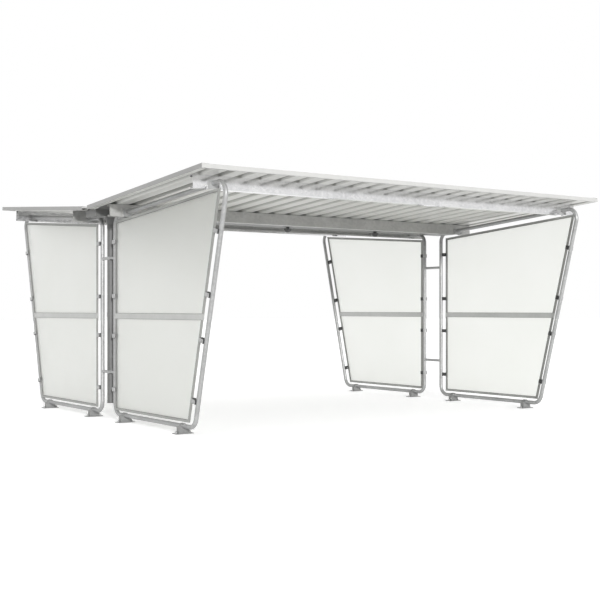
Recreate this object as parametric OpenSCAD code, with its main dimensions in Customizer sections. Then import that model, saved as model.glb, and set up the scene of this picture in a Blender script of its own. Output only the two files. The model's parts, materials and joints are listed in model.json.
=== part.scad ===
// Two-sided cycle shelter, open along both long sides.
// Four closed loops of bent tube stand in pairs at the two ends and carry glazed screens.
// Four purlins lie on the loops' top rails and carry a ribbed roof whose halves rise outward
// from a gutter along the middle.
// Units are millimetres. X runs along the shelter, Y across it and Z up.
// The origin is at floor level in the middle of the plan.

/* [Roof] */
// Number of ribs along each roof half
rib_count = 24; // [18:1:30]
// Distance from rib to rib
rib_pitch = 207; // [170:1:250]
// Width of a rib's flat crown
rib_crown = 40; // [25:1:60]
// Width of a rib at its foot
rib_foot = 88; // [70:1:130]
// Height of the ribs, sheet included
rib_h = 35; // [20:1:50]
// Thickness of the roof sheet
sheet_t = 1.5; // [1:0.1:3]
// Width of the whole roof, measured level across both sheets
roof_w = 4730; // [4600:1:5700]
// Slope of each roof half, rising outward, in degrees
roof_slope = 4.27; // [2:0.01:6]
// Height of the top rails' centreline where it would meet over the valley
valley_z = 2055; // [1950:1:2500]
// Half width of the slot between the two sheets, over the gutter
sheet_gap_y = 70; // [40:1:100]

/* [Edge flashings] */
// Thickness of the folded flashings
flashing_t = 1.5; // [1:0.1:3]
// Width of the flashings' leaf on top of the ribs
flashing_top = 70; // [40:1:120]
// Depth of the end flashings' upright leaf
verge_h = 40; // [30:1:90]
// Width of the eaves flashings' leaf under the sheet
eave_lip = 22; // [12:1:40]

/* [Tube loops] */
// Outside diameter of the bent tube
tube_d = 42.4; // [33.7:0.1:54]
// Distance from the plane of a pair of loops out to the end of the roof
end_overhang = 268; // [200:1:400]
// Distance between the upright legs of the two loops of one end
leg_gap = 305; // [260:1:420]
// Height of the bottom rails' centreline
sill_z = 70; // [62:1:120]
// Distance from the eaves in to the corner of a loop's centreline, measured level
corner_inset = 22; // [10:1:100]
// Outward lean of the outer legs from upright, in degrees
leg_lean = 14.63; // [8:0.01:16]
// Centreline radius of the bends
bend_r = 110; // [90:1:140]
// How much the tube's radius shrinks in the bends
bend_thin = 0.1; // [0.05:0.01:0.4]

/* [Screens] */
// Distance from a loop's plane out to the middle of its screen
screen_offset = 24; // [18:0.5:30]
// Thickness of the panes
pane_t = 8; // [5:0.5:10]
// Gap from a leg's centreline to the edge of the screen
screen_side = 64; // [60:0.5:110]
// Gap from the bottom rail's centreline to the edge of the screen
screen_bottom = 44; // [40:0.5:90]
// Gap from the top rail's centreline to the edge of the screen
screen_top = 62; // [55:0.5:100]
// Face width of the channel round the panes
trim_w = 24; // [10:0.5:32]
// Wall of the channel behind the panes' edges
trim_t = 1.5; // [1:0.1:2.5]
// Depth of the channel from face to face
screen_t = 12; // [11:0.5:28]
// Height of the bottom of the middle rail
mid_rail_z = 1033; // [700:0.5:1400]
// Height of the middle rail itself
mid_rail_h = 51; // [40:0.5:90]
// Depth of the middle rail from face to face
mid_rail_d = 14; // [12:0.5:30]
// How far the panes reach into the middle rail
mid_rail_bite = 18; // [10:0.5:24]
// Length of the middle rail's end caps
end_cap_l = 14; // [8:0.5:25]
// How far the end caps stand proud of the middle rail's faces
end_cap_proud = 0.8; // [0.4:0.1:1.5]

/* [Screen clips] */
// Length of a clip along its tube
clip_l = 40; // [30:1:70]
// Wall of a clip in front of and behind the screen
clip_wall = 5; // [3:0.5:8]
// How far a clip grips over the edge of the screen
clip_bite = 10; // [6:0.5:20]
// How far a clip reaches behind its tube's centreline
clip_back = 4; // [0:0.5:10]
// Distance of the end clips' middles from the screen's bottom and top edges
clip_inset = 204; // [40:1:300]
// Distance of the other clips' middles from the middle rail's centreline
clip_mid_gap = 200; // [80:1:300]

/* [Feet] */
// Distance of the feet from the two ends of a bottom rail
foot_inset = 218; // [180:1:450]
// Length of a floor plate along the shelter
foot_plate_x = 175; // [150:1:240]
// Width of a floor plate across the shelter
foot_plate_y = 90; // [60:1:140]
// Thickness of a floor plate
foot_plate_t = 8; // [5:0.5:12]
// Length of a foot's block along the shelter
foot_block_x = 110; // [80:1:125]
// Width of a foot's block across the shelter
foot_block_y = 44; // [30:1:70]
// Wall of a foot over the tube
foot_strap_t = 7; // [4:0.5:12]
// Diameter of the anchor holes
anchor_d = 14; // [9:0.5:16]
// Distance between a foot's two anchor holes
anchor_gap = 145; // [142:1:150]

/* [Leg spacers] */
// Diameter of the rods between the upright legs
spacer_d = 30; // [20:0.5:36]
// Heights of the rods
spacer_zs = [487, 1647]; // [300:1:1800]

/* [Purlins] */
// Distance from the end of the roof in to the end of the purlins
purlin_setback = 67; // [20:1:140]
// Depth of the purlins' web, gutter lip and sheet seat included
purlin_h = 120; // [100:1:150]
// Width of the purlins' flanges
purlin_w = 50; // [40:1:70]
// Wall of the purlins
purlin_t = 3; // [2:0.1:5]
// Height of the purlins' turned lips
purlin_lip = 18; // [10:1:25]
// How far the purlins reach below the rails' centreline
purlin_drop = 49; // [45:1:60]
// Distance up the slope from the valley to the inner purlins' web
inner_purlin_y = 451; // [440:1:700]
// Distance from the eaves in to the outer purlins' web
eave_overhang = 276.5; // [250:0.5:450]
// Width of the purlins' notch over each rail
notch_w = 92; // [80:1:120]
// Wall of the saddles that hold the purlins on the rails
saddle_t = 5; // [3:0.5:8]
// Width of a saddle's plate
saddle_w = 124; // [112:1:140]
// Depth of a saddle's plate
saddle_h = 80; // [60:1:85]

/* [Gutter] */
// Gap between the gutter's trough and the tubes on either side of it
gutter_side_gap = 11.3; // [4:0.1:30]
// Height of the gutter's floor over the point where the rails' centrelines would meet
gutter_rise = 7; // [2:1:30]
// Thickness of the gutter
gutter_t = 1.5; // [1:0.1:3]
// Diameter of the domes under the gutter
dome_d = 88; // [60:1:120]
// Distance from dome to dome, one of them in the middle
dome_gap = 1281; // [600:1:1500]
// Diameter of a dome's neck
dome_neck_d = 40; // [25:1:50]
// Length of a dome's neck
dome_neck_h = 16; // [8:1:30]

/* [Downpipe] */
// Diameter of the downpipe
pipe_d = 70; // [50:1:80]
// Wall of the downpipe
pipe_t = 2; // [1.5:0.1:4]
// Distance of the downpipe inward from the plane of the loops
pipe_inset = 20; // [10:1:24]
// Height of the downpipe's open end
pipe_end_z = 167; // [60:1:400]
// Diameter of the outlet's wide end
outlet_d = 116; // [90:1:140]
// Height of the outlet's tapered part
outlet_h = 72; // [40:1:100]
// Wall of the collars that hold the downpipe
collar_t = 5; // [3:0.5:8]

/* [Hidden] */
$fn = 48;

// Clearance between pieces that rest against each other
fit = 0.3;
// Overshoot that keeps cuts clean
cut = 1;
// How far the straight lengths of tube run on into the bends
bend_overlap = 3;
tube_r = tube_d / 2;
leg_y = leg_gap / 2;
sheet_len = rib_count * rib_pitch;
half_span = sheet_len / 2 - end_overhang;

// Outer corners of a loop's centreline: the sloped top rail meets the leaning leg
corner_y = roof_w / 2 - corner_inset;
corner_z = valley_z + tan(roof_slope) * corner_y;
sill_end_y = corner_y - tan(leg_lean) * (corner_z - sill_z);
loop_points = [[leg_y, sill_z], [sill_end_y, sill_z], [corner_y, corner_z],
    [leg_y, valley_z + tan(roof_slope) * leg_y]];
foot_ys = [leg_y + foot_inset, sill_end_y - foot_inset];
screen_low = sill_z + screen_bottom;

// Heights above the rails' centreline, square to the slope
sheet_n = purlin_h - purlin_drop;
sheet_top_n = sheet_n + rib_h;
outer_purlin_n = sheet_n - fit;
inner_purlin_n = outer_purlin_n - gutter_t - fit;
sheet_start = sheet_gap_y / cos(roof_slope);
sheet_end = (roof_w / 2 + sheet_top_n * sin(roof_slope)) / cos(roof_slope);
outer_purlin_y = sheet_end - eave_overhang;
purlin_l = sheet_len - 2 * purlin_setback;
gutter_w = leg_gap - tube_d - 2 * gutter_side_gap;
gutter_z = valley_z + gutter_rise;

mid_rail_top = mid_rail_z + mid_rail_h;
mid_rail_middle = mid_rail_z + mid_rail_h / 2;
pipe_r = pipe_d / 2;
pipe_x = -half_span + pipe_inset;

steel = [0.70, 0.71, 0.72];
dark_steel = [0.42, 0.43, 0.44];
sheet_grey = [0.82, 0.82, 0.80];
frosted = [0.90, 0.91, 0.88, 0.6];
edge_grey = [0.55, 0.56, 0.54];
pipe_grey = [0.45, 0.46, 0.45];

// ---------- placing ----------

// Puts children drawn for the right rear quarter into any quarter
module quarter(along, across) {
    mirror([along < 0 ? 1 : 0, 0, 0]) mirror([0, across < 0 ? 1 : 0, 0]) children();
}

// Puts children drawn for the rear half on either side of the valley
module half(across) {
    mirror([0, across < 0 ? 1 : 0, 0]) children();
}

// Tilts children so that Y runs up the roof slope and Z is square to it, from the rail's centreline
module on_slope() {
    translate([0, 0, valley_z]) rotate([roof_slope, 0, 0]) children();
}

// Stands a flat drawing up in the plane x, with its X along the shelter's Y and its Y upright
module upright(x) {
    translate([x, 0, 0]) rotate([90, 0, 90]) children();
}

// ---------- bent tube ----------

function unit(v) = v / norm(v);
function heading(v) = atan2(v[1], v[0]);
function next(points, i) = points[(i + 1) % len(points)];
function previous(points, i) = points[(i + len(points) - 1) % len(points)];
// Angle between the two sides that meet at point i
function corner_angle(points, i) = let (here = points[i])
    acos(unit(next(points, i) - here) * unit(previous(points, i) - here));
// Distance from point i to where its bend starts
function bend_start(points, i) = bend_r / tan(corner_angle(points, i) / 2);

// One closed loop of tube through the points, drawn in the XY plane
module tube_loop(points) {
    for (i = [0 : len(points) - 1]) {
        here = points[i];
        there = next(points, i);
        way = unit(there - here);
        start = here + way * bend_start(points, i);
        length = norm(there - here) - bend_start(points, i) - bend_start(points, (i + 1) % len(points));
        translate([start[0], start[1], 0]) rotate([0, 0, heading(way)]) translate([-bend_overlap, 0, 0])
            rotate([0, 90, 0]) cylinder(r = tube_r, h = length + 2 * bend_overlap);
        bend(points, i);
    }
}

// The bend at point i, a part of a ring
module bend(points, i) {
    inward = unit(unit(next(points, i) - points[i]) + unit(previous(points, i) - points[i]));
    centre = points[i] + inward * bend_r / sin(corner_angle(points, i) / 2);
    turn = 180 - corner_angle(points, i);
    translate([centre[0], centre[1], 0]) rotate([0, 0, heading(-inward) - turn / 2])
        rotate_extrude(angle = turn) translate([bend_r, 0]) circle(r = tube_r - bend_thin);
}

module frame(along, across) {
    color(steel) quarter(along, across) upright(half_span) tube_loop(loop_points);
}

// ---------- screens ----------

// Height of a line that lies a distance below the top rail's centreline
function under_rail(y, gap) = valley_z + tan(roof_slope) * y - gap / cos(roof_slope);
// Distance across of a line that lies a distance inside the leaning leg's centreline
function inside_leg(z, gap) = sill_end_y + tan(leg_lean) * (z - sill_z) - gap / cos(leg_lean);
// Where that line meets the line under the top rail
function top_corner_y(side, top) = (sill_end_y - side / cos(leg_lean)
    + tan(leg_lean) * (valley_z - top / cos(roof_slope) - sill_z)) / (1 - tan(leg_lean) * tan(roof_slope));

// Outline of a screen, set in from its edge, between two heights or up to the sloping top
function screen_above(z, inset) = let (side = screen_side + inset, top = screen_top + inset,
    tip = top_corner_y(side, top))
    [[leg_y + side, z], [inside_leg(z, side), z], [tip, under_rail(tip, top)],
    [leg_y + side, under_rail(leg_y + side, top)]];
function screen_between(low, high, inset) = let (side = screen_side + inset)
    [[leg_y + side, low], [inside_leg(low, side), low], [inside_leg(high, side), high], [leg_y + side, high]];

// Sheet of a given thickness in the screen's plane
module screen_slab(outline, thickness) {
    upright(half_span + screen_offset) translate([0, 0, -thickness / 2])
        linear_extrude(thickness) polygon(outline);
}

module upper_pane(along, across) {
    low = mid_rail_top - mid_rail_bite;
    color(frosted) quarter(along, across)
        screen_slab(screen_above(low, trim_t + fit), pane_t);
}

module lower_pane(along, across) {
    low = screen_low + trim_t + fit;
    high = mid_rail_z + mid_rail_bite;
    color(frosted) quarter(along, across)
        screen_slab(screen_between(low, high, trim_t + fit), pane_t);
}

// The channel round the panes, one length above the middle rail and one below it
module pane_trim(along, across) {
    color(edge_grey) quarter(along, across) {
        difference() {
            screen_slab(screen_above(mid_rail_top + fit, 0), screen_t);
            screen_slab(screen_above(mid_rail_z, trim_w), screen_t + 2 * cut);
            screen_slab(screen_above(mid_rail_z, trim_t), pane_t + 2 * fit);
        }
        difference() {
            screen_slab(screen_between(screen_low, mid_rail_z - fit, 0), screen_t);
            screen_slab(screen_between(screen_low + trim_w, mid_rail_top, trim_w), screen_t + 2 * cut);
            screen_slab(screen_between(screen_low + trim_t, mid_rail_top, trim_t), pane_t + 2 * fit);
        }
    }
}

// The rail between the two panes, with a pocket for each pane and a cap on each end
module mid_rail(along, across) {
    pocket = mid_rail_bite + fit;
    pocket_t = pane_t + 2 * fit;
    color(steel) quarter(along, across) difference() {
        union() {
            screen_slab(screen_between(mid_rail_z, mid_rail_top, 0), mid_rail_d);
            difference() {
                screen_slab(screen_between(mid_rail_z, mid_rail_top, -fit),
                    mid_rail_d + 2 * end_cap_proud);
                screen_slab(screen_between(mid_rail_z - cut, mid_rail_top + cut, end_cap_l),
                    mid_rail_d + 2 * cut);
            }
        }
        screen_slab(screen_between(mid_rail_top - pocket, mid_rail_top + cut, trim_t), pocket_t);
        screen_slab(screen_between(mid_rail_z - cut, mid_rail_z + pocket, trim_t), pocket_t);
    }
}

// One clip between a tube and the screen's edge.
// Z is along the tube, Y towards the screen and X away from the shelter.
module clip(reach) {
    front = screen_offset + screen_t / 2 + fit + clip_wall;
    difference() {
        translate([-clip_back, 0, -clip_l / 2]) cube([front + clip_back, reach + clip_bite, clip_l]);
        cylinder(r = tube_r + fit, h = clip_l + 2 * cut, center = true);
        translate([screen_offset - screen_t / 2 - fit, reach - fit, -clip_l / 2 - cut])
            cube([screen_t + 2 * fit, clip_bite + fit + cut, clip_l + 2 * cut]);
    }
}

module clips(along, across) {
    heights = [screen_low + clip_inset,
        mid_rail_middle - clip_mid_gap,
        mid_rail_middle + clip_mid_gap,
        under_rail(leg_y + screen_side, screen_top) - clip_inset];
    color(dark_steel) quarter(along, across) translate([half_span, 0, 0]) for (z = heights) {
        translate([0, leg_y, z]) clip(screen_side);
        lean_z = z - screen_side * sin(leg_lean);
        translate([0, inside_leg(lean_z, 0), lean_z]) rotate([-leg_lean, 0, 0])
            mirror([0, 1, 0]) clip(screen_side);
    }
}

// ---------- feet ----------

// One foot under a bottom rail: floor plate, block and a strap over the tube
module foot() {
    difference() {
        union() {
            translate([-foot_plate_x / 2, -foot_plate_y / 2, 0])
                cube([foot_plate_x, foot_plate_y, foot_plate_t]);
            translate([-foot_block_x / 2, -foot_block_y / 2, foot_plate_t - cut])
                cube([foot_block_x, foot_block_y, sill_z - foot_plate_t + cut]);
            translate([0, 0, sill_z]) rotate([90, 0, 0])
                cylinder(r = tube_r + foot_strap_t, h = foot_block_y, center = true);
        }
        translate([0, 0, sill_z]) rotate([90, 0, 0])
            cylinder(r = tube_r + fit, h = foot_block_y + 2 * cut, center = true);
        for (side = [-1, 1])
            translate([side * anchor_gap / 2, 0, -cut]) cylinder(d = anchor_d, h = foot_plate_t + 2 * cut);
    }
}

module feet(along, across) {
    color(steel) quarter(along, across)
        for (y = foot_ys) translate([half_span, y, 0]) foot();
}

// ---------- leg spacers ----------

// Rods between the upright legs, shaped to the tubes at their ends
module leg_rod(z) {
    difference() {
        translate([0, 0, z]) rotate([90, 0, 0]) cylinder(d = spacer_d, h = leg_gap, center = true);
        for (side = [-1, 1])
            translate([0, side * leg_y, z - spacer_d]) cylinder(r = tube_r + fit, h = 2 * spacer_d);
    }
}

module leg_spacers_left() {
    color(steel) for (z = spacer_zs) difference() {
        union() {
            translate([-half_span, 0, 0]) leg_rod(z);
            translate([pipe_x, 0, z - spacer_d / 2]) cylinder(r = pipe_r + fit + collar_t, h = spacer_d);
        }
        translate([pipe_x, 0, z - spacer_d]) cylinder(r = pipe_r + fit, h = 2 * spacer_d);
    }
}

module leg_spacers_right() {
    color(steel) for (z = spacer_zs) translate([half_span, 0, 0]) leg_rod(z);
}

// ---------- purlins ----------

// Section of a purlin: web at 0, flanges turned towards the valley
module purlin_section(top) {
    low = -purlin_drop;
    depth = top - low;
    difference() {
        translate([-purlin_w, low]) square([purlin_w, depth]);
        translate([-purlin_w + purlin_t, low + purlin_t])
            square([purlin_w - 2 * purlin_t, depth - 2 * purlin_t]);
        translate([-purlin_w - cut, low + purlin_lip])
            square([purlin_t + 2 * cut, depth - 2 * purlin_lip]);
    }
}

// A purlin whose web stands a distance up the slope, notched over the two rails
module purlin(across, web_y, top) {
    notch_h = purlin_drop + tube_r + saddle_t + 3 * fit;
    color(steel) half(across) on_slope() difference() {
        translate([-purlin_l / 2, web_y, 0]) rotate([90, 0, 90])
            linear_extrude(purlin_l) purlin_section(top);
        for (x = [-half_span, half_span])
            translate([x - notch_w / 2, web_y - purlin_w - cut, -purlin_drop - cut])
                cube([notch_w, purlin_w + 2 * cut, notch_h + cut]);
    }
}

// A saddle on a rail: a collar under the notch and a plate against the purlin's web
module saddle(web_y) {
    low = -purlin_drop;
    difference() {
        union() {
            translate([-saddle_w / 2, web_y + fit, low]) cube([saddle_w, saddle_t, saddle_h]);
            translate([0, web_y - purlin_w, 0]) rotate([-90, 0, 0])
                cylinder(r = tube_r + fit + saddle_t, h = purlin_w + fit + saddle_t);
        }
        translate([0, web_y - purlin_w - cut, 0]) rotate([-90, 0, 0])
            cylinder(r = tube_r + fit, h = purlin_w + saddle_t + 2 * cut);
    }
}

module purlin_saddles(along) {
    color(dark_steel) for (across = [-1, 1])
        half(across) on_slope() for (web_y = [inner_purlin_y, outer_purlin_y])
            translate([along * half_span, 0, 0]) saddle(web_y);
}

// ---------- roof ----------

// Section of the ribbed sheet along X: flat, up, crown, down, and again
function rib_line(lift) = [for (i = [0 : rib_count - 1]) let (middle = (i + 0.5) * rib_pitch - sheet_len / 2)
    for (p = [[-rib_foot / 2, 0], [-rib_crown / 2, rib_h - sheet_t],
    [rib_crown / 2, rib_h - sheet_t], [rib_foot / 2, 0]]) [middle + p[0], lift + p[1]]];
function reversed(list) = [for (i = [len(list) - 1 : -1 : 0]) list[i]];

module roof_sheet(across) {
    line = concat([[-sheet_len / 2, 0]], rib_line(0), [[sheet_len / 2, 0]]);
    raised = concat([[-sheet_len / 2, sheet_t]], rib_line(sheet_t), [[sheet_len / 2, sheet_t]]);
    color(sheet_grey) half(across) on_slope()
        translate([0, sheet_end, sheet_n]) rotate([90, 0, 0])
            linear_extrude(sheet_end - sheet_start) polygon(concat(line, reversed(raised)));
}

// Folded strip that closes the ribs along the eaves
module eave_trim(across) {
    inner_t = flashing_t;
    low = sheet_n - fit - inner_t;
    high = sheet_top_n + fit;
    face = sheet_end + fit;
    length = sheet_len - 2 * fit;
    color(sheet_grey) half(across) on_slope() translate([-length / 2, 0, 0]) {
        translate([0, face, low]) cube([length, inner_t, high + inner_t - low]);
        translate([0, face - eave_lip, low]) cube([length, eave_lip + inner_t, inner_t]);
        translate([0, face - flashing_top, high]) cube([length, flashing_top + inner_t, inner_t]);
    }
}

// Angle strips over the sheet's end ribs, one on each roof half
module verge_trim(along) {
    top = sheet_top_n + fit + flashing_t;
    face = sheet_len / 2 + fit;
    y_end = sheet_end + fit + flashing_t;
    color(sheet_grey) mirror([along < 0 ? 1 : 0, 0, 0]) for (across = [-1, 1])
        half(across) on_slope() translate([0, sheet_start, 0]) {
            translate([face, 0, top + fit + flashing_t - verge_h])
                cube([flashing_t, y_end - sheet_start, verge_h]);
            translate([face - flashing_top, 0, top + fit])
                cube([flashing_top + flashing_t, y_end - sheet_start, flashing_t]);
        }
}

// ---------- gutter and downpipe ----------

// Underside of the gutter's wings, which lie on the inner purlins
function wing_z(y) = valley_z + (inner_purlin_n + fit) / cos(roof_slope) + tan(roof_slope) * y;
// Half of the gutter's section, from the middle of the floor out along the wing and back
function gutter_half(inner) = let (wall = gutter_w / 2, tip = inner_purlin_y * cos(roof_slope),
    wing_t = gutter_t / cos(roof_slope))
    inner ? [[wall - gutter_t, gutter_z + gutter_t], [wall - gutter_t, wing_z(wall - gutter_t) + wing_t],
        [tip, wing_z(tip) + wing_t]]
    : [[tip, wing_z(tip)], [wall, wing_z(wall)], [wall, gutter_z]];
function flipped(points) = [for (i = [len(points) - 1 : -1 : 0]) [-points[i][0], points[i][1]]];

// Trough along the valley, closed at its ends, with wings that lie on the inner purlins
module gutter() {
    outer = gutter_half(false);
    inner = gutter_half(true);
    end_h = wing_z(gutter_w / 2) - gutter_z - gutter_t;
    color(pipe_grey) difference() {
        union() {
            upright(-purlin_l / 2) linear_extrude(purlin_l)
                polygon(concat(outer, flipped(outer), flipped(inner), inner));
            for (x = [-purlin_l / 2, purlin_l / 2 - gutter_t])
                translate([x, -gutter_w / 2, gutter_z]) cube([gutter_t, gutter_w, end_h]);
        }
        translate([pipe_x, 0, gutter_z - cut]) cylinder(r = pipe_r, h = gutter_t + 2 * cut);
    }
}

// Domes that hang on short necks under the gutter
module gutter_domes() {
    dome_top = gutter_z - fit - dome_neck_h;
    color(pipe_grey) for (x = [-dome_gap, 0, dome_gap]) translate([x, 0, dome_top]) {
        translate([0, 0, -cut]) cylinder(d = dome_neck_d, h = dome_neck_h + cut);
        rotate_extrude() intersection() {
            circle(d = dome_d);
            translate([0, -dome_d]) square([dome_d, dome_d]);
        }
    }
}

// Tapered outlet under the gutter, running down into the pipe, open at both ends
module downpipe() {
    top = gutter_z - fit;
    taper_z = top - outlet_h;
    color(pipe_grey) translate([pipe_x, 0, 0]) difference() {
        union() {
            translate([0, 0, pipe_end_z]) cylinder(r = pipe_r, h = taper_z - pipe_end_z);
            translate([0, 0, taper_z]) cylinder(r1 = pipe_r, r2 = outlet_d / 2, h = outlet_h);
        }
        translate([0, 0, pipe_end_z - cut]) cylinder(r = pipe_r - pipe_t, h = taper_z - pipe_end_z + cut);
        translate([0, 0, taper_z]) cylinder(r1 = pipe_r - pipe_t, r2 = outlet_d / 2 - pipe_t, h = outlet_h);
    }
}

frame(-1, -1);  // frame_left_front
frame(-1, 1);  // frame_left_rear
frame(1, -1);  // frame_right_front
frame(1, 1);  // frame_right_rear
upper_pane(-1, -1);  // upper_pane_left_front
upper_pane(-1, 1);  // upper_pane_left_rear
upper_pane(1, -1);  // upper_pane_right_front
upper_pane(1, 1);  // upper_pane_right_rear
lower_pane(-1, -1);  // lower_pane_left_front
lower_pane(-1, 1);  // lower_pane_left_rear
lower_pane(1, -1);  // lower_pane_right_front
lower_pane(1, 1);  // lower_pane_right_rear
pane_trim(-1, -1);  // pane_trim_left_front
pane_trim(-1, 1);  // pane_trim_left_rear
pane_trim(1, -1);  // pane_trim_right_front
pane_trim(1, 1);  // pane_trim_right_rear
mid_rail(-1, -1);  // mid_rail_left_front
mid_rail(-1, 1);  // mid_rail_left_rear
mid_rail(1, -1);  // mid_rail_right_front
mid_rail(1, 1);  // mid_rail_right_rear
clips(-1, -1);  // clips_left_front
clips(-1, 1);  // clips_left_rear
clips(1, -1);  // clips_right_front
clips(1, 1);  // clips_right_rear
feet(-1, -1);  // feet_left_front
feet(-1, 1);  // feet_left_rear
feet(1, -1);  // feet_right_front
feet(1, 1);  // feet_right_rear
leg_spacers_left();
leg_spacers_right();
purlin(-1, outer_purlin_y, outer_purlin_n);  // outer_purlin_front
purlin(1, outer_purlin_y, outer_purlin_n);  // outer_purlin_rear
purlin(-1, inner_purlin_y, inner_purlin_n);  // inner_purlin_front
purlin(1, inner_purlin_y, inner_purlin_n);  // inner_purlin_rear
purlin_saddles(-1);  // purlin_saddles_left
purlin_saddles(1);  // purlin_saddles_right
roof_sheet(-1);  // roof_sheet_front
roof_sheet(1);  // roof_sheet_rear
eave_trim(-1);  // eave_trim_front
eave_trim(1);  // eave_trim_rear
verge_trim(-1);  // verge_trim_left
verge_trim(1);  // verge_trim_right
gutter();
gutter_domes();
downpipe();
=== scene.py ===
"""Looks of the two-sided cycle shelter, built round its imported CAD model. Units are metres."""
import json
import math

import bmesh
import bpy
from mathutils import Matrix, Vector


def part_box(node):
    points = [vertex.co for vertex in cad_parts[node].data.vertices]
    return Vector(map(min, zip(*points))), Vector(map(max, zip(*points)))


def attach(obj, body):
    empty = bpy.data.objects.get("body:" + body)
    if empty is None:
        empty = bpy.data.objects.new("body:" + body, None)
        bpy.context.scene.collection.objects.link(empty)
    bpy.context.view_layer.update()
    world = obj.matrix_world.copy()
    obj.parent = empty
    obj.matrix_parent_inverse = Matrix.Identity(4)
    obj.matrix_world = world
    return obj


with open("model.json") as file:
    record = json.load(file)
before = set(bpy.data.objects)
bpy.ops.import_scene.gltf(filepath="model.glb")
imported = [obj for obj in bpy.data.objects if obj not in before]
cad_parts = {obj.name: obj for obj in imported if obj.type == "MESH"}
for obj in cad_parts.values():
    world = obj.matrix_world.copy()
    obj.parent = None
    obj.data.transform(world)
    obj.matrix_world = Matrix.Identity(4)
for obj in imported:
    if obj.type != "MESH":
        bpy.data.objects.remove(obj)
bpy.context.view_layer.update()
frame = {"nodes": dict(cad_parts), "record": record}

NODES = frame["nodes"]
SIDES = [(along, across) for along in (-1, 1) for across in (-1, 1)]


def side_name(along, across):
    """The end of a node's name for one quarter of the shelter."""
    return ("left" if along < 0 else "right") + "_" + ("front" if across < 0 else "rear")


# ---------- sizes of the roof sheet ----------

RIB_PITCH = 0.207
RIB_COUNT = 24
RIB_CROWN = 0.040
RIB_FOOT = 0.088


# ---------- materials ----------

# Painted shade in the ribs' hollows: the sheet's colour there, seen from below, is darkened by this factor
RIB_HOLLOW_SHADE = (0.36, 0.36, 0.355, 1.0)


class Surface:
    """A node material under construction, with short calls for the nodes that most finishes share."""

    def __init__(self, name):
        self.material = bpy.data.materials.new(name)
        self.material.use_nodes = True
        self.tree = self.material.node_tree
        self.shader = self.tree.nodes["Principled BSDF"]
        self.where = self.tree.nodes.new("ShaderNodeTexCoord").outputs["Object"]

    def node(self, kind, inputs=(), **settings):
        """A new node with its settings, and its inputs set to values or linked to sockets."""
        made = self.tree.nodes.new(kind)
        for key, value in settings.items():
            setattr(made, key, value)
        for key, value in dict(inputs).items():
            if isinstance(value, bpy.types.NodeSocket):
                self.tree.links.new(value, made.inputs[key])
            else:
                made.inputs[key].default_value = value
        return made

    def set(self, **values):
        """Numbers on the shader's own sockets."""
        for key, value in values.items():
            self.shader.inputs[key.replace("_", " ")].default_value = value

    def link(self, socket, name):
        self.tree.links.new(socket, self.shader.inputs[name])

    def stretched(self, scale):
        """Object coordinates, scaled per axis."""
        return self.node("ShaderNodeMapping", {"Vector": self.where, "Scale": scale}).outputs["Vector"]

    def noise(self, scale, detail=3.0, roughness=0.5, at=None):
        made = self.node("ShaderNodeTexNoise", {"Vector": at or self.where, "Scale": scale,
                                                "Detail": detail, "Roughness": roughness})
        return made.outputs["Fac"]

    def cells(self, scale, at=None):
        """One random grey for each cell of a Voronoi pattern."""
        made = self.node("ShaderNodeTexVoronoi", {"Vector": at or self.where, "Scale": scale,
                                                  "Randomness": 1.0})
        return self.node("ShaderNodeSeparateColor", {"Color": made.outputs["Color"]}).outputs["Red"]

    def maths(self, operation, *values):
        """One sum of numbers or sockets."""
        return self.node("ShaderNodeMath", dict(enumerate(values)), operation=operation).outputs[0]

    def tones(self, value, dark, light, start=0.3, end=0.7):
        """Colours from dark to light, as the value goes from start to end."""
        made = self.node("ShaderNodeValToRGB", {"Fac": value})
        for element, place, colour in zip(made.color_ramp.elements, (start, end), (dark, light)):
            element.position = place
            element.color = (*colour, 1.0)
        return made.outputs["Color"]

    def span(self, value, low, high):
        """The value's 0 to 1 range moved to low to high."""
        made = self.node("ShaderNodeMapRange", {"Value": value, "To Min": low, "To Max": high})
        return made.outputs["Result"]

    def blend(self, factor, first, second, mode="MIX"):
        made = self.node("ShaderNodeMix", data_type="RGBA", blend_type=mode)
        for index, value in ((0, factor), (6, first), (7, second)):
            if isinstance(value, bpy.types.NodeSocket):
                self.tree.links.new(value, made.inputs[index])
            else:
                made.inputs[index].default_value = value
        return made.outputs[2]

    def bump(self, height, distance, strength=1.0, after=None):
        inputs = {"Height": height, "Distance": distance, "Strength": strength}
        if after is not None:
            inputs["Normal"] = after
        return self.node("ShaderNodeBump", inputs).outputs["Normal"]


def galvanised(name, dark, light, metal, spangle=0.018, rough=(0.30, 0.48)):
    """Hot-dip zinc: crystals of slightly different grey and gloss, cloudy patches and a fine pebbled skin."""
    made = Surface(name)
    cloud_shade = 0.86
    edge_drift = spangle * 0.6
    warped = made.node("ShaderNodeVectorMath", {0: made.where}, operation="ADD")
    drift = made.node("ShaderNodeTexNoise", {"Vector": made.where, "Scale": 60.0, "Detail": 2.0})
    shift = made.node("ShaderNodeVectorMath", {0: drift.outputs["Color"], "Scale": edge_drift},
                      operation="SCALE")
    made.tree.links.new(shift.outputs["Vector"], warped.inputs[1])
    crystal = made.cells(1.0 / spangle, warped.outputs["Vector"])
    cloud = made.noise(scale=3.5, detail=4.0, roughness=0.6)
    crystals = made.tones(crystal, dark, light, start=0.0, end=1.0)
    clouds = made.tones(cloud, [value * cloud_shade for value in dark], light)
    made.link(made.blend(0.45, crystals, clouds), "Base Color")
    made.link(made.span(crystal, *rough), "Roughness")
    pebble = made.noise(scale=420.0, detail=2.0)
    facets = made.bump(crystal, distance=0.0003, strength=0.2)
    made.link(made.bump(pebble, distance=0.0004, strength=0.25, after=facets), "Normal")
    made.set(Metallic=metal)
    return made.material


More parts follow.
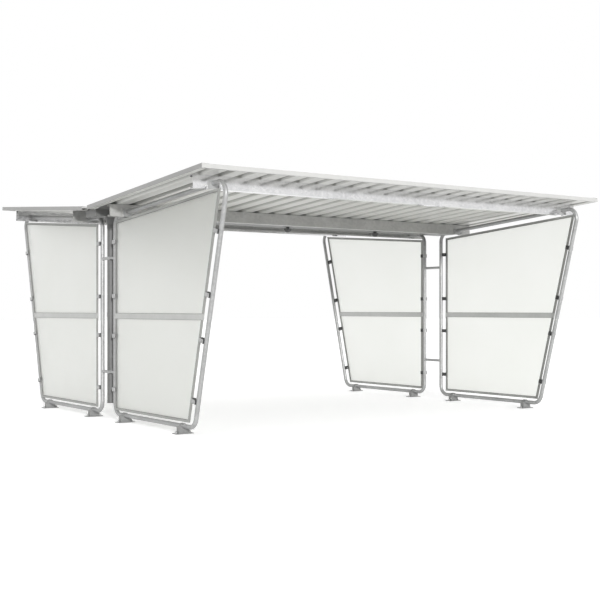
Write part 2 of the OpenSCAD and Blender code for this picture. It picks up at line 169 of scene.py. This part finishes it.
def rib_hollow_shade_mask(made):
    """Mask of the painted shade: 1 inside the ribs' hollows on the sheet's underside, and 0 elsewhere."""
    along = made.node("ShaderNodeSeparateXYZ", {"Vector": made.where}).outputs["X"]
    place = made.maths("FRACT", made.maths("DIVIDE", along, RIB_PITCH))
    from_middle = made.maths("ABSOLUTE", made.maths("SUBTRACT", place, 0.5))
    inside = made.node("ShaderNodeMapRange", {"Value": from_middle, "From Min": RIB_FOOT / 2 / RIB_PITCH,
                                              "From Max": RIB_CROWN / 2 / RIB_PITCH}).outputs["Result"]
    normal = made.node("ShaderNodeNewGeometry").outputs["True Normal"]
    facing = made.node("ShaderNodeSeparateXYZ", {"Vector": normal}).outputs["Z"]
    return made.maths("MULTIPLY", inside, made.maths("LESS_THAN", facing, 0.0))


def coated_sheet(name, dark, light, metal=0.35, rough=(0.34, 0.46), painted_rib_shade=False):
    """Zinc-grey coated sheet: faint streaks down the slope, soft clouds and a fine orange-peel skin; on
    request, painted shade in the ribs' hollows underneath.
    """
    made = Surface(name)
    streak = made.noise(scale=1.0, detail=4.0, roughness=0.55, at=made.stretched((14.0, 0.8, 14.0)))
    cloud = made.noise(scale=2.2)
    streaks = made.tones(streak, dark, light, start=0.25, end=0.75)
    tone = made.blend(0.5, streaks, made.tones(cloud, dark, light))
    if painted_rib_shade:
        # Painted shade: the underside darkened inside the ribs' hollows
        tone = made.blend(rib_hollow_shade_mask(made), tone, RIB_HOLLOW_SHADE, "MULTIPLY")
    made.link(tone, "Base Color")
    made.link(made.span(streak, *rough), "Roughness")
    peel = made.noise(scale=350.0, detail=2.0)
    made.link(made.bump(peel, distance=0.0003, strength=0.15), "Normal")
    made.set(Metallic=metal)
    return made.material


def painted(name, colour, rough=(0.42, 0.58), wear=0.18, metal=0.0):
    """Semi-matt grey with small variations, scuffs and a fine grain."""
    made = Surface(name)
    scuff = made.noise(scale=38.0, detail=6.0, roughness=0.7)
    patch = made.noise(scale=6.0)
    dark = [value * (1.0 - wear) for value in colour]
    light = [min(1.0, value * (1.0 + wear)) for value in colour]
    scuffs = made.tones(scuff, dark, light, start=0.35, end=0.65)
    made.link(made.blend(0.4, made.tones(patch, dark, light), scuffs), "Base Color")
    made.link(made.span(scuff, *rough), "Roughness")
    grain = made.noise(scale=600.0, detail=2.0)
    made.link(made.bump(grain, distance=0.0002, strength=0.2), "Normal")
    made.set(Metallic=metal)
    return made.material


def frosted_glass(name):
    """Satin glass: light goes through scattered by both etched faces, with a faint cloudiness."""
    made = Surface(name)
    cloud = made.noise(scale=1.6)
    made.link(made.tones(cloud, (0.900, 0.912, 0.874), (0.930, 0.939, 0.908)), "Base Color")
    etched = made.noise(scale=900.0, detail=2.0, roughness=0.6)
    made.link(made.span(etched, 0.40, 0.52), "Roughness")
    made.set(Transmission_Weight=1.0, IOR=1.45)
    return made.material


MATERIALS = {
    "galvanised_tube": galvanised("galvanised_tube", (0.33, 0.333, 0.333), (0.47, 0.473, 0.470),
                                  metal=0.35),
    "galvanised_fitting": galvanised("galvanised_fitting", (0.40, 0.403, 0.403), (0.54, 0.543, 0.540),
                                     metal=0.45, rough=(0.38, 0.55), spangle=0.012),
    "foot_zinc": galvanised("foot_zinc", (0.25, 0.252, 0.25), (0.35, 0.352, 0.348), metal=0.35,
                            rough=(0.42, 0.58), spangle=0.012),
    "galvanised_purlin": galvanised("galvanised_purlin", (0.66, 0.66, 0.67), (0.82, 0.82, 0.825),
                                    metal=0.88, spangle=0.024, rough=(0.11, 0.20)),
    # Painted shade: a darker, duller copy of the purlin zinc for the inner purlins under the roof
    "shaded_purlin": galvanised("shaded_purlin", (0.42, 0.42, 0.41), (0.56, 0.56, 0.545),
                                metal=0.45, spangle=0.024, rough=(0.34, 0.48)),
    # The ribbed_sheet gets painted shade in its ribs' hollows underneath
    "ribbed_sheet": coated_sheet("ribbed_sheet", (0.66, 0.66, 0.63), (0.77, 0.77, 0.74),
                                 painted_rib_shade=True),
    "flashing": coated_sheet("flashing", (0.56, 0.56, 0.55), (0.63, 0.63, 0.61)),
    # Painted shade: a darker copy of the flashing for the verge_trim parts' faces
    "shaded_verge": coated_sheet("shaded_verge", (0.33, 0.33, 0.325), (0.40, 0.40, 0.39)),
    "gutter": coated_sheet("gutter", (0.15, 0.152, 0.148), (0.20, 0.202, 0.197), metal=0.2,
                           rough=(0.42, 0.56)),
    "downpipe": painted("downpipe", (0.145, 0.146, 0.144)),
    "frosted_pane": frosted_glass("frosted_pane"),
    "glazing_bead": painted("glazing_bead", (0.13, 0.131, 0.128), rough=(0.55, 0.7), wear=0.1),
    "pane_edge": painted("pane_edge", (0.36, 0.365, 0.35), wear=0.12, metal=0.3),
    "middle_rail": painted("middle_rail", (0.53, 0.535, 0.522), wear=0.08, metal=0.5),
    "clip": painted("clip", (0.035, 0.036, 0.036), rough=(0.35, 0.5)),
    "dome": painted("dome", (0.10, 0.102, 0.10), wear=0.10),
}


# Nodes that get a darker copy of their slot's metal, by the start of their names: painted shade on the
# verge_trim and inner_purlin nodes, and a darker zinc on the feet
SHADED_AND_DARKER_COPIES = {"verge_trim": "shaded_verge", "inner_purlin": "shaded_purlin", "feet": "foot_zinc"}


def finish_cad_nodes():
    """Gives each CAD node its finish: its slot's in the record, or a darker copy of the same metal, which is
    painted shade on the verge_trim and inner_purlin nodes.
    """
    for entry in frame["record"]["subparts"]:
        node = NODES[entry["node"]]
        finish = entry["material_slot"]
        for start, darker_copy in SHADED_AND_DARKER_COPIES.items():
            if entry["node"].startswith(start):
                # A darker copy; on the verge_trim and inner_purlin nodes it is painted shade
                finish = darker_copy
        node.data.materials.clear()
        node.data.materials.append(MATERIALS[finish])


finish_cad_nodes()


# ---------- fixings and other small pieces ----------

# Sizes of the CAD model that the added pieces follow
ROOF_SLOPE = math.radians(4.27)
VALLEY_Z = 2.055
PAN_TOP = 0.0725
CROWN_TOP = 0.106
PURLIN_LINES = (0.426, 2.078)
EAVES_LINE = 2.3795
VERGE_X = 2.450
VERGE_TOP = CROWN_TOP + 0.0036
EAVE_TRIM_TOP = CROWN_TOP + 0.0018
FOOT_PLATE_T = 0.008
ANCHOR_REACH = 0.0725
CHANNEL_LIP = 0.0222
RAIL_BITE = 0.018
LEG_LEAN = math.radians(14.63)
PIPE_R = 0.035

# The gap between an added piece and the face it lies on
FACE_GAP = 0.0001

# How near points of the CAD meshes are taken for one point, or for points of one face
SAME_POINT = 1e-5
SAME_FACE = 1e-4

# A bolt's washer and head, as shares of its width across flats, its head or its corners' radius
WASHER_SHARE = 0.14
STRAIGHT_SHARE = 0.8
FLATS_SHARE = 0.86

# A button head's lower step: its share of the height, its top radius, and the radius of the crown
BUTTON_STEP = 0.45
BUTTON_RIM = 0.94
BUTTON_CROWN = 0.55

UP = Vector((0.0, 0.0, 1.0))


def up_slope(across):
    """The direction up one roof half, away from the valley."""
    return Vector((0.0, across * math.cos(ROOF_SLOPE), math.sin(ROOF_SLOPE)))


def off_slope(across):
    """The direction square to one roof half, upwards."""
    return Vector((0.0, -across * math.sin(ROOF_SLOPE), math.cos(ROOF_SLOPE)))


def on_roof(across, x, along, height):
    """A point over one roof half: a distance up the slope and a height square to it."""
    return Vector((x, 0.0, VALLEY_Z)) + up_slope(across) * along + off_slope(across) * height


def islands(node):
    """The separate solids of a CAD node, each as a list of its points."""
    work = bmesh.new()
    work.from_mesh(NODES[node].data)
    bmesh.ops.remove_doubles(work, verts=work.verts, dist=SAME_POINT)
    left = set(work.verts)
    found = []
    while left:
        group, edge_of = [], [left.pop()]
        while edge_of:
            vert = edge_of.pop()
            group.append(vert.co.copy())
            for edge in vert.link_edges:
                other = edge.other_vert(vert)
                if other in left:
                    left.remove(other)
                    edge_of.append(other)
        found.append(group)
    work.free()
    return sorted(found, key=first_corner)


def face_points(points, direction):
    """The points that lie furthest along a direction."""
    reach = max(point.dot(direction) for point in points)
    return [point for point in points if point.dot(direction) > reach - SAME_FACE]


def middle(points):
    return sum(points, Vector()) / len(points)


def around(points, centre):
    """Points of an upright face in order round its centre."""
    return sorted(points, key=lambda point: math.atan2(point.z - centre.z, point.y - centre.y))


def first_corner(group):
    """The lowest of a solid's points by x, then y, then z, which puts the solids in a steady order."""
    return min(tuple(round(value, 5) for value in point) for point in group)


class Piece:
    """One added object, built up from plain solids."""

    def __init__(self, name):
        self.name = name
        self.solid = bmesh.new()

    def post(self, start, axis, radius, length, sides=16, end_radius=None):
        """A round or many-sided post that grows from start along axis."""
        axis = axis.normalized()
        turn = axis.to_track_quat("Z", "Y").to_matrix().to_4x4()
        place = Matrix.Translation(start + axis * length / 2) @ turn
        bmesh.ops.create_cone(self.solid, cap_ends=True, segments=sides, radius1=radius, depth=length,
                              radius2=radius if end_radius is None else end_radius, matrix=place)

    def hex_bolt(self, start, axis, across_flats, washer, height=0.62):
        """A washer and a chamfered six-sided head on a face."""
        axis = axis.normalized()
        corner_r = across_flats / math.sqrt(3.0)
        flats_r = corner_r * FLATS_SHARE
        washer_t = across_flats * WASHER_SHARE
        head = across_flats * height
        straight = head * STRAIGHT_SHARE
        self.post(start, axis, flats_r * washer, washer_t, sides=24)
        self.post(start + axis * washer_t, axis, corner_r, straight, sides=6)
        self.post(start + axis * (washer_t + straight), axis, corner_r, head - straight, sides=6,
                  end_radius=flats_r)

    def button(self, start, axis, radius, height):
        """A low domed head in two steps."""
        axis = axis.normalized()
        step = height * BUTTON_STEP
        rim = radius * BUTTON_RIM
        self.post(start, axis, radius, step, sides=20, end_radius=rim)
        self.post(start + axis * step, axis, rim, height - step, sides=20, end_radius=radius * BUTTON_CROWN)

    def sweep(self, path, radius, sides=8):
        """A closed bead of round section along a ring of points."""
        count = len(path)
        rings = []
        for i, point in enumerate(path):
            ahead = (path[(i + 1) % count] - path[i - 1]).normalized()
            if rings:
                side = (side - ahead * side.dot(ahead)).normalized()
            else:
                side = ahead.orthogonal().normalized()
            other = ahead.cross(side)
            turns = [2 * math.pi * k / sides for k in range(sides)]
            rings.append([self.solid.verts.new(point + (side * math.cos(a) + other * math.sin(a)) * radius)
                          for a in turns])
        for i in range(count):
            here, there = rings[i], rings[(i + 1) % count]
            for k in range(sides):
                self.solid.faces.new((here[k], here[(k + 1) % sides], there[(k + 1) % sides], there[k]))

    def prism(self, near, far):
        """A solid between two matching outlines."""
        ends = [[self.solid.verts.new(point) for point in outline] for outline in (near, far)]
        self.solid.faces.new(ends[0])
        self.solid.faces.new(ends[1][::-1])
        for i in range(len(near)):
            j = (i + 1) % len(near)
            self.solid.faces.new((ends[0][j], ends[0][i], ends[1][i], ends[1][j]))

    def add(self, finish):
        """Puts the finished piece in the scene with its finish, under the root body."""
        bmesh.ops.recalc_face_normals(self.solid, faces=self.solid.faces)
        mesh = bpy.data.meshes.new(self.name)
        self.solid.to_mesh(mesh)
        self.solid.free()
        mesh.materials.append(MATERIALS[finish])
        made = bpy.data.objects.new(self.name, mesh)
        bpy.context.scene.collection.objects.link(made)
        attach(made, "root")


def add_clip_covers():
    """A bright plate on each clip's outer face, with a screw in its middle and a small one at the screen."""
    plate_share, plate_t = 0.97, 0.0020
    washer_r, washer_t = 0.0105, 0.0016
    towards_tube, towards_screen = 0.006, 0.028
    for along, across in SIDES:
        covers = Piece("clip_covers_" + side_name(along, across))
        screws = Piece("clip_screws_" + side_name(along, across))
        out = Vector((along, 0.0, 0.0))
        low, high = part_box("mid_rail_" + side_name(along, across))
        screen_y = (low.y + high.y) / 2
        for points in islands("clips_" + side_name(along, across)):
            face = face_points(points, out)
            centre = middle(face)
            reach = abs(centre.y - screen_y)
            near = [point for point in face if abs(point.y - screen_y) < reach]
            far = [point for point in face if abs(point.y - screen_y) >= reach]
            inward = (middle(near) - middle(far)).normalized()
            outline = around(face, centre)
            plate = [centre + (point - centre) * plate_share + out * FACE_GAP for point in outline]
            covers.prism(plate, [point + out * plate_t for point in plate])
            on_plate = centre + out * (2 * FACE_GAP + plate_t)
            screw_at = on_plate - inward * towards_tube
            screws.post(screw_at, out, washer_r, washer_t, sides=24)
            screws.button(screw_at + out * washer_t, out, radius=0.0075, height=0.0045)
            screws.button(on_plate + inward * towards_screen, out, radius=0.0050, height=0.0030)
        covers.add("galvanised_fitting")
        screws.add("galvanised_fitting")


def add_saddle_bolts():
    """Four bolts through each saddle's plate into the purlin's web."""
    from_middle, rises = 0.0525, (0.016, 0.064)
    for end in ("left", "right"):
        bolts = Piece("saddle_bolts_" + end)
        for points in islands("purlin_saddles_" + end):
            across = 1 if middle(points).y > 0 else -1
            out, square = up_slope(across), off_slope(across)
            face = face_points(points, out)
            centre_x = (min(point.x for point in face) + max(point.x for point in face)) / 2
            base = min(point.dot(square) for point in face)
            reach = face[0].dot(out)
            for side in (-1, 1):
                for rise in rises:
                    at = out * reach + square * (base + rise)
                    at.x = centre_x + side * from_middle
                    bolts.hex_bolt(at, out, across_flats=0.013, washer=1.45)
        bolts.add("galvanised_fitting")


def add_anchors():
    """A washer, nut and stud end at each hole of the floor plates."""
    stud_r, stud_tip_r, stud_length, stud_sunk = 0.0058, 0.0052, 0.026, 0.006
    for along, across in SIDES:
        anchors = Piece("floor_anchors_" + side_name(along, across))
        for points in islands("feet_" + side_name(along, across)):
            xs, ys = [point.x for point in points], [point.y for point in points]
            centre = Vector(((min(xs) + max(xs)) / 2, (min(ys) + max(ys)) / 2, FOOT_PLATE_T))
            for side in (-1, 1):
                at = centre + Vector((side * ANCHOR_REACH, 0.0, 0.0))
                anchors.hex_bolt(at, UP, across_flats=0.018, washer=1.3, height=0.55)
                anchors.post(at - UP * stud_sunk, UP, stud_r, stud_length, end_radius=stud_tip_r)
        anchors.add("galvanised_fitting")


def add_roof_screws():
    """Sealed screws in the pans over each purlin."""
    seal_r, seal_top_r, seal_t = 0.0085, 0.0075, 0.0028
    head_r, head_h = 0.0046, 0.0050
    for across, side in ((-1, "front"), (1, "rear")):
        screws = Piece("roof_screws_" + side)
        square = off_slope(across)
        for line in PURLIN_LINES:
            for i in range(1, RIB_COUNT):
                at = on_roof(across, (i - RIB_COUNT / 2) * RIB_PITCH, line, PAN_TOP)
                screws.post(at, square, seal_r, seal_t, end_radius=seal_top_r)
                screws.post(at + square * seal_t, square, head_r, head_h, sides=6)
        screws.add("galvanised_fitting")


def rib_x(i):
    """The middle of rib i, counted from the left end."""
    return (i - (RIB_COUNT - 1) / 2) * RIB_PITCH


def add_sheet_laps():
    """The edge of each next sheet, which laps over a rib of the one before."""
    lap_ribs = (5, 10, 15, 20)
    lap_reach, lap_short, lap_lift, lap_t = 0.012, 0.002, 0.003, 0.0010
    from_valley, from_eaves = 0.080, 0.075
    profile = [(-RIB_FOOT / 2 - lap_reach, PAN_TOP), (-RIB_FOOT / 2, PAN_TOP), (-RIB_CROWN / 2, CROWN_TOP),
               (RIB_CROWN / 2, CROWN_TOP), (RIB_FOOT / 2 - lap_short, PAN_TOP + lap_lift)]
    low = [(x, height + 2 * FACE_GAP) for x, height in profile]
    high = [(x, height + 2 * FACE_GAP + lap_t) for x, height in reversed(profile)]
    for across, side in ((-1, "front"), (1, "rear")):
        laps = Piece("sheet_laps_" + side)
        for i in lap_ribs:
            ends = [[on_roof(across, rib_x(i) + x, line, height) for x, height in low + high]
                    for line in (from_valley, EAVES_LINE - from_eaves)]
            laps.prism(*ends)
        laps.add("ribbed_sheet")


def add_rivets():
    """Rivets that hold the eaves and end flashings to the crowns."""
    rivet_r, rivet_h = 0.0045, 0.0014
    from_eaves, first, step, count = 0.045, 0.15, 0.29, 8
    rivets = Piece("flashing_rivets")
    for across in (-1, 1):
        for i in range(1, RIB_COUNT - 1):
            at = on_roof(across, rib_x(i), EAVES_LINE - from_eaves, EAVE_TRIM_TOP)
            rivets.button(at, off_slope(across), rivet_r, rivet_h)
        for along in (-1, 1):
            for i in range(count):
                at = on_roof(across, along * VERGE_X, first + i * step, VERGE_TOP)
                rivets.button(at, off_slope(across), rivet_r, rivet_h)
    rivets.add("flashing")


def inset(outline, distances):
    """An outline with each side moved inwards by its own distance; side i runs from point i to the next."""
    count = len(outline)
    lines = []
    for i in range(count):
        start, end = Vector(outline[i]), Vector(outline[(i + 1) % count])
        along = (end - start).normalized()
        inward = Vector((-along.y, along.x))
        lines.append((start + inward * distances[i], along))
    corners = []
    for i in range(count):
        (a, u), (b, v) = lines[i - 1], lines[i]
        cross = u.x * v.y - u.y * v.x
        step = ((b - a).x * v.y - (b - a).y * v.x) / cross
        corners.append(a + u * step)
    return corners


def add_glazing_beads():
    """A dark rubber bead where each pane enters its channel, on both faces."""
    bead_w, bead_t = 0.0028, 0.0012
    for along, across in SIDES:
        beads = Piece("glazing_beads_" + side_name(along, across))
        # The side of each pane's outline that the middle rail holds
        for node, in_rail in (("upper_pane_", 0), ("lower_pane_", 2)):
            points = islands(node + side_name(along, across))[0]
            for way in (-1, 1):
                out = Vector((way, 0.0, 0.0))
                face = face_points(points, out)
                centre = middle(face)
                ring = [(point.y, point.z) for point in around(face, centre)]
                distances = [CHANNEL_LIP] * 4
                distances[in_rail] = RAIL_BITE
                outer, inner = inset(ring, distances), inset(ring, [value + bead_w for value in distances])
                x = face[0].x + way * FACE_GAP
                for i in range(4):
                    j = (i + 1) % 4
                    quad = [Vector((x, p.x, p.y)) for p in (outer[i], outer[j], inner[j], inner[i])]
                    beads.prism(quad, [point + out * bead_t for point in quad])
        beads.add("glazing_bead")


def add_rod_welds():
    """Weld beads where the short rods meet the upright legs."""
    bead_r, bead_lift, bead_points = 0.0026, 0.0015, 28
    for along, end in ((-1, "left"), (1, "right")):
        welds = Piece("rod_welds_" + end)
        frame_low, frame_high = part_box("frame_" + side_name(along, 1))
        tube_x = (frame_low.x + frame_high.x) / 2
        tube_r = (frame_high.x - frame_low.x) / 2
        leg_y = frame_low.y + tube_r
        for points in islands("leg_spacers_" + end):
            heights = [point.z for point in points]
            centre_z, rod_r = (min(heights) + max(heights)) / 2, (max(heights) - min(heights)) / 2
            for across in (-1, 1):
                path = []
                for step in range(bead_points):
                    turn = 2 * math.pi * step / bead_points
                    x, z = rod_r * math.cos(turn), rod_r * math.sin(turn)
                    y = leg_y - math.sqrt(tube_r ** 2 - x ** 2) - bead_lift
                    path.append(Vector((tube_x + x, across * y, centre_z + z)))
                welds.sweep(path, bead_r)
        welds.add("galvanised_tube")


def add_pipe_bands():
    """Thin bands round the downpipe: the open end's rim, a joint and the socket under the outlet."""
    low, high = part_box("downpipe")
    centre = Vector(((low.x + high.x) / 2, 0.0, 0.0))
    inner_r, outer_r, sides = PIPE_R + FACE_GAP, PIPE_R + 0.0022, 32
    bands = Piece("downpipe_bands")
    # Each band's lower edge and its height
    for base, height in ((low.z + 0.0005, 0.006), (1.050, 0.045), (high.z - 0.110, 0.038)):
        for step in range(sides):
            start, end = (2 * math.pi * (step + k) / sides for k in (0, 1))
            corners = ((inner_r, start), (outer_r, start), (outer_r, end), (inner_r, end))
            ring = [centre + Vector((radius * math.cos(turn), radius * math.sin(turn), base))
                    for radius, turn in corners]
            bands.prism(ring, [point + UP * height for point in ring])
    bands.add("downpipe")


def add_dome_rims():
    """A lip round the rim of each dome under the gutter."""
    lip_r, lip_drop, lip_points = 0.0022, 0.002, 40
    rims = Piece("dome_rims")
    for points in islands("gutter_domes"):
        xs = [point.x for point in points]
        centre_x, radius = (min(xs) + max(xs)) / 2, (max(xs) - min(xs)) / 2
        rim_z = min(point.z for point in points) + radius
        path = [Vector((centre_x + radius * math.cos(turn), radius * math.sin(turn), rim_z - lip_drop))
                for turn in (2 * math.pi * step / lip_points for step in range(lip_points))]
        rims.sweep(path, lip_r)
    rims.add("dome")


def add_cap_screws():
    """One small screw in each end cap of the middle rails, on both faces."""
    from_end = 0.007
    for along, across in SIDES:
        screws = Piece("cap_screws_" + side_name(along, across))
        low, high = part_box("mid_rail_" + side_name(along, across))
        lean = (high.z - low.z) / 2 * math.tan(LEG_LEAN)
        near, far = sorted((low.y, high.y), key=abs)
        for y in (near + across * from_end, far - across * (lean + from_end)):
            for x, way in ((low.x, -1), (high.x, 1)):
                at = Vector((x, y, (low.z + high.z) / 2))
                screws.button(at, Vector((way, 0.0, 0.0)), radius=0.0040, height=0.0022)
        screws.add("galvanised_fitting")


add_clip_covers()
add_saddle_bolts()
add_anchors()
add_roof_screws()
add_sheet_laps()
add_rivets()
add_glazing_beads()
add_rod_welds()
add_pipe_bands()
add_dome_rims()
add_cap_screws()


# ---------- stage, light and camera ----------

FLOOR_HALF = 90.0
FLOOR_WHITE = (0.82, 0.82, 0.82, 1.0)
FLOOR_ROUGH = 0.9
FLOOR_LIFT = 0.45


def seen_rays(tree):
    """1 for rays from the camera, off metal or through glass, and 0 for the light on the object."""
    path = tree.nodes.new("ShaderNodeLightPath")
    seen = path.outputs["Is Camera Ray"]
    for kind in ("Is Glossy Ray", "Is Transmission Ray"):
        either = tree.nodes.new("ShaderNodeMath")
        either.operation = "MAXIMUM"
        tree.links.new(seen, either.inputs[0])
        tree.links.new(path.outputs[kind], either.inputs[1])
        seen = either.outputs[0]
    return seen


def make_floor():
    """A plain pale floor that shows white, and keeps the object's shadow."""
    mesh = bpy.data.meshes.new("floor")
    corners = [(x * FLOOR_HALF, y * FLOOR_HALF, 0.0) for x, y in ((-1, -1), (1, -1), (1, 1), (-1, 1))]
    mesh.from_pydata(corners, [], [(0, 1, 2, 3)])
    floor = bpy.data.objects.new("floor", mesh)
    bpy.context.scene.collection.objects.link(floor)
    material = bpy.data.materials.new("floor_white")
    material.use_nodes = True
    tree = material.node_tree
    shader = tree.nodes["Principled BSDF"]
    shader.inputs["Base Color"].default_value = FLOOR_WHITE
    shader.inputs["Roughness"].default_value = FLOOR_ROUGH
    shader.inputs["Specular IOR Level"].default_value = 0.0
    shader.inputs["Emission Color"].default_value = (1.0, 1.0, 1.0, 1.0)
    lift = tree.nodes.new("ShaderNodeMath")
    lift.operation = "MULTIPLY"
    tree.links.new(seen_rays(tree), lift.inputs[0])
    lift.inputs[1].default_value = FLOOR_LIFT
    tree.links.new(lift.outputs[0], shader.inputs["Emission Strength"])
    mesh.materials.append(material)


SKY_LIGHT = 0.85
HORIZON_LIGHT = 0.35
# How far up the sky reaches its full light, as a share of straight up
SKY_FROM = 0.6


def make_world():
    """Overcast light, brighter from above than from the horizon, seen as plain white."""
    world = bpy.data.worlds.new("soft_white")
    bpy.context.scene.world = world
    world.use_nodes = True
    tree = world.node_tree
    background = tree.nodes["Background"]
    background.inputs["Color"].default_value = (1.0, 1.0, 1.0, 1.0)
    direction = tree.nodes.new("ShaderNodeSeparateXYZ")
    tree.links.new(tree.nodes.new("ShaderNodeTexCoord").outputs["Generated"], direction.inputs["Vector"])
    sky = tree.nodes.new("ShaderNodeMapRange")
    sky.inputs["From Max"].default_value = SKY_FROM
    sky.inputs["To Min"].default_value = HORIZON_LIGHT
    sky.inputs["To Max"].default_value = SKY_LIGHT
    tree.links.new(direction.outputs["Z"], sky.inputs["Value"])
    strength = tree.nodes.new("ShaderNodeMapRange")
    strength.inputs["To Max"].default_value = 1.0
    tree.links.new(sky.outputs["Result"], strength.inputs["To Min"])
    tree.links.new(seen_rays(tree), strength.inputs["Value"])
    tree.links.new(strength.outputs["Result"], background.inputs["Strength"])


def make_sun(name, azimuth, elevation, strength, width):
    """A soft sun from an azimuth (0 from -Y, 90 from +X) and an elevation, both in degrees."""
    light = bpy.data.lights.new(name, "SUN")
    light.energy = strength
    light.angle = math.radians(width)
    sun = bpy.data.objects.new(name, light)
    turn, lift = math.radians(azimuth), math.radians(elevation)
    towards = Vector((math.sin(turn) * math.cos(lift), -math.cos(turn) * math.cos(lift), math.sin(lift)))
    sun.rotation_euler = towards.to_track_quat("Z", "Y").to_euler()
    bpy.context.scene.collection.objects.link(sun)


CAMERA_AT = (-6.959, -10.159, 1.125)
CAMERA_AZIMUTH = 35.07
CAMERA_LENS = 64.73
CAMERA_FILM = 36.0
CAMERA_SHIFT_Y = 0.0156
CAMERA_REACH = 300.0


def make_camera():
    """A level camera in front of the left front corner, at chest height."""
    data = bpy.data.cameras.new("camera")
    data.lens = CAMERA_LENS
    data.sensor_width = CAMERA_FILM
    data.shift_y = CAMERA_SHIFT_Y
    data.clip_end = CAMERA_REACH
    camera = bpy.data.objects.new("camera", data)
    camera.location = CAMERA_AT
    camera.rotation_euler = (math.radians(90.0), 0.0, -math.radians(CAMERA_AZIMUTH))
    bpy.context.scene.collection.objects.link(camera)
    bpy.context.scene.camera = camera


make_floor()
make_world()
make_sun("key", azimuth=-20.0, elevation=12.6, strength=2.4, width=6.0)
make_camera()
bpy.context.scene.view_settings.view_transform = "Standard"
